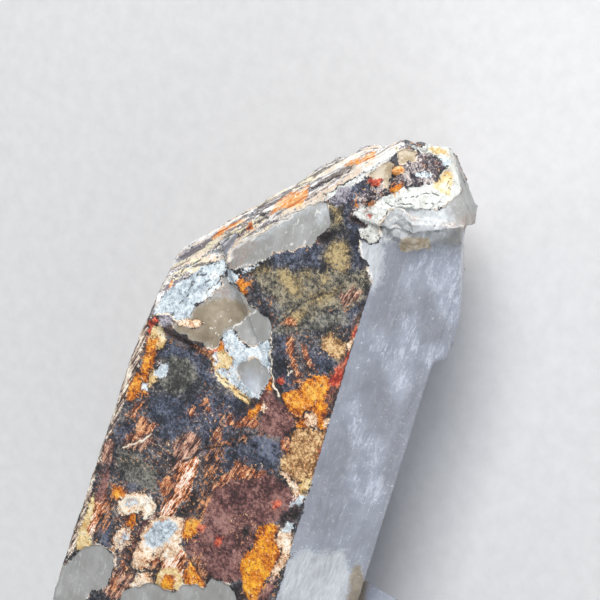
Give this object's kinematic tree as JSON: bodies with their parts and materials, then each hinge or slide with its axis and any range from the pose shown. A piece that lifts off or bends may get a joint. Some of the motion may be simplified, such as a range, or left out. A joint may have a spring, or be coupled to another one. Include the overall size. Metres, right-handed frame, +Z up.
{
  "type": "quartz crystal specimen",
  "caption": "Doubly terminated quartz floater, a natural crystal group with a stepped tip and iron oxide coating, lying on a prism face.",
  "frame": {"origin": "middle of the bounding box, at the level of the flat prism face the specimen rests on", "axes": "+Y along the crystal's long axis towards its better tip, +Z up out of the broad coated front face, +X to the right of that face"},
  "size_m": [0.0776, 0.134, 0.0473],
  "materials": {
    "quartz": "glossy faces, partly coated"
  },
  "bodies": {
    "root": {"quartz_crystal": "quartz"}
  },
  "joints": []
}
